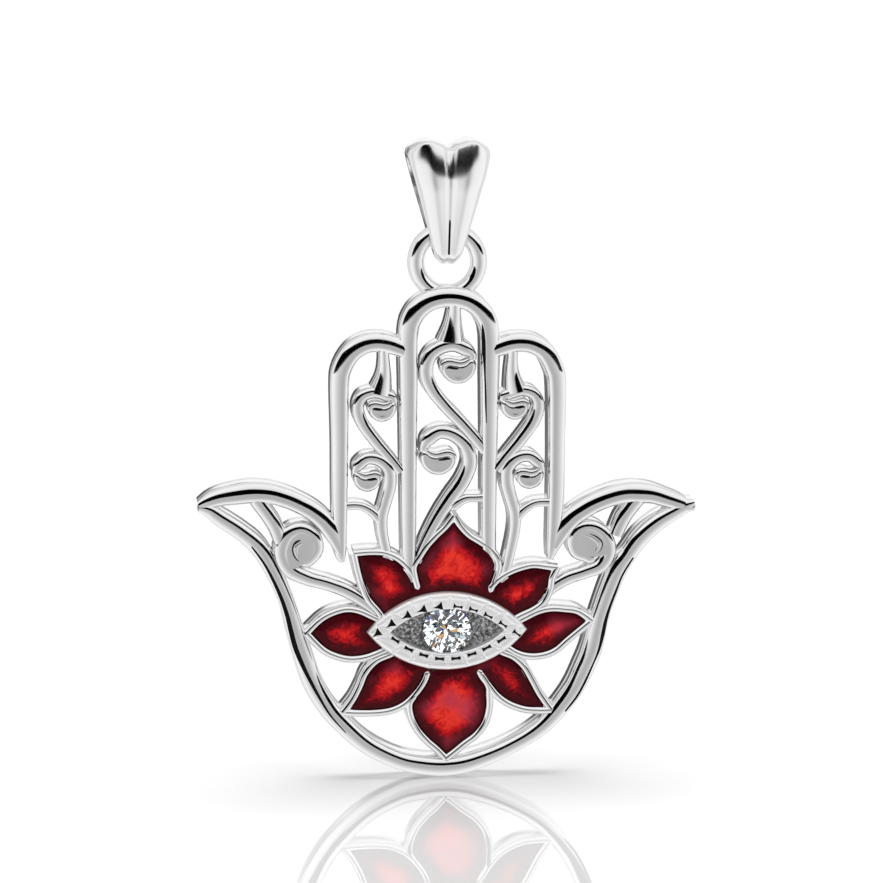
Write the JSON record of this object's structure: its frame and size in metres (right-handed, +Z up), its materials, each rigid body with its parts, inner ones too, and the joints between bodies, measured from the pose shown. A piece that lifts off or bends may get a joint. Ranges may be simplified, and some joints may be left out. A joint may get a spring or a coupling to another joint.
{
  "type": "hamsa pendant",
  "caption": "Openwork silver hand pendant with scrollwork fingers, a red enamelled flower round an eye set with a clear stone, and a fluted bail linked to its top ring.",
  "frame": {"origin": "centre of the passage for a chain through the bail's upper loop", "axes": "+X across the hand to the viewer's right, -Y the front with the stone and enamel, +Z up along the middle finger"},
  "size_m": [0.0284, 0.0044, 0.0364],
  "materials": {
    "bail_silver": "bright rhodium-plated silver, polished",
    "hand_silver": "bright rhodium-plated cast silver, polished, with a grained floor inside the eye",
    "enamel_red": "glossy translucent ruby-red enamel over a rough floor",
    "clear_stone": "clear round brilliant-cut stone, polished facets"
  },
  "bodies": {
    "bail": {"bail": "bail_silver"},
    "pendant": {"hand_frame": "hand_silver", "enamel_top": "enamel_red", "enamel_left": "enamel_red", "enamel_right": "enamel_red", "enamel_bottom": "enamel_red", "stone": "clear_stone"}
  },
  "joints": [
    {"name": "swing", "type": "hinge", "parent": "bail", "child": "pendant", "pos_m": [0, 0, -0.00473], "axis": [0, 1, 0], "range_deg": [-75, 75]}
  ]
}
